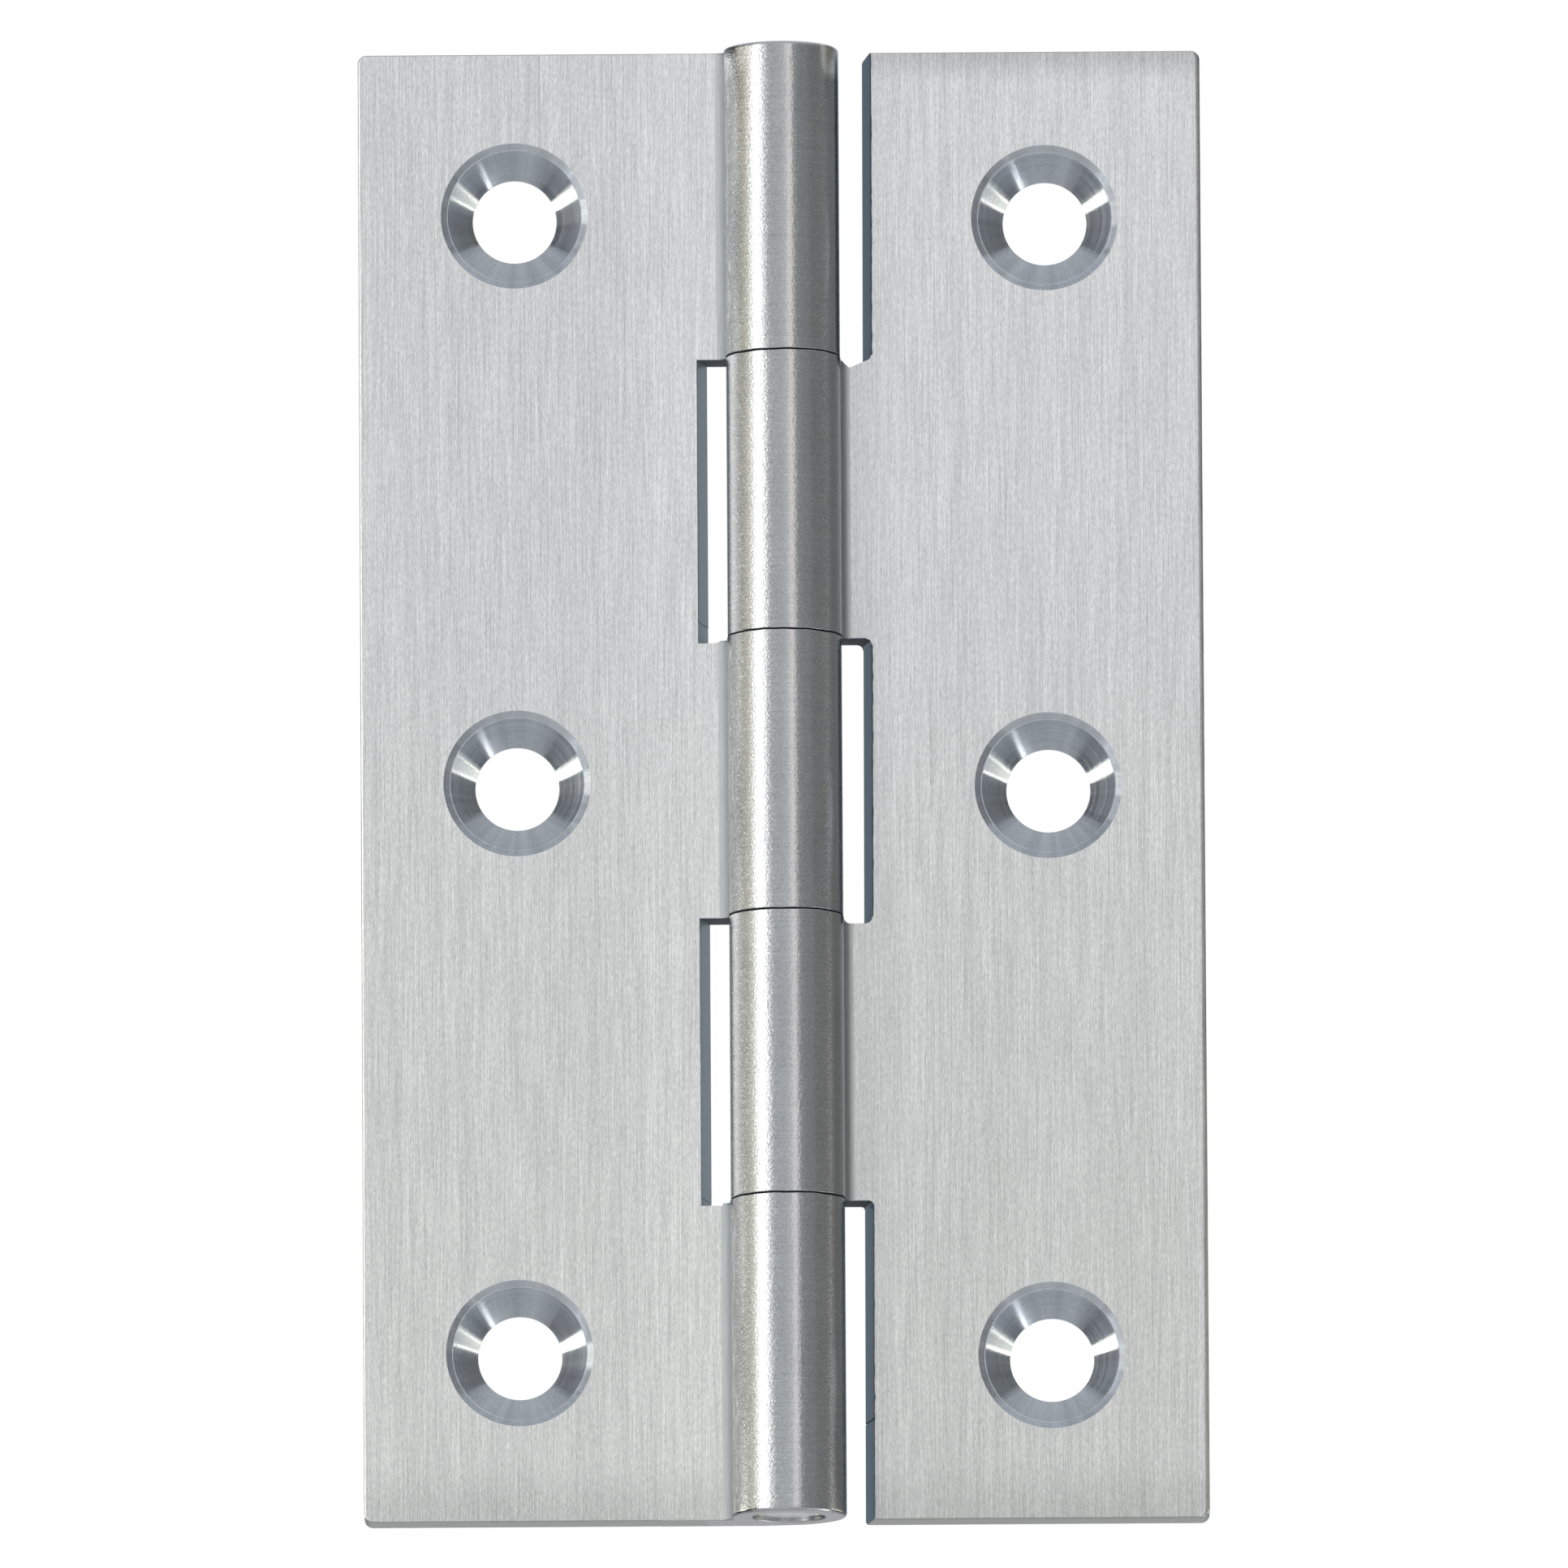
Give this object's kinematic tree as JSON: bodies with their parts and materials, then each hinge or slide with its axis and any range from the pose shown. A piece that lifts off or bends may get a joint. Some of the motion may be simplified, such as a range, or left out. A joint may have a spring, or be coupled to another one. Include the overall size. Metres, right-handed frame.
{
  "type": "butt hinge",
  "caption": "Flat steel butt hinge: interleaved knuckles turn on one pin, and each leaf has a row of countersunk screw holes. Stored open flat, it folds shut towards the screw side.",
  "frame": {"origin": "on the pin's axis at mid-length", "axes": "+Z along the pin towards the knuckle end shown uppermost, +X towards the free edge of the two-knuckle leaf, -Y out of the face the screws enter"},
  "size_m": [0.0432, 0.0061, 0.076],
  "materials": {
    "leaf_steel": "satin, brushed lengthwise on the leaves, turned finish in the countersinks, bright on the barrel",
    "pin_steel": "ground steel with a faced end"
  },
  "bodies": {
    "frame_leaf": {"three_knuckle_leaf": "leaf_steel", "hinge_pin": "pin_steel"},
    "door_leaf": {"two_knuckle_leaf": "leaf_steel"}
  },
  "joints": [
    {"name": "leaf_swing", "type": "hinge", "parent": "frame_leaf", "child": "door_leaf", "pos_m": [0, 0, 0], "axis": [0, 0, -1], "range_deg": [-99, 185]}
  ]
}
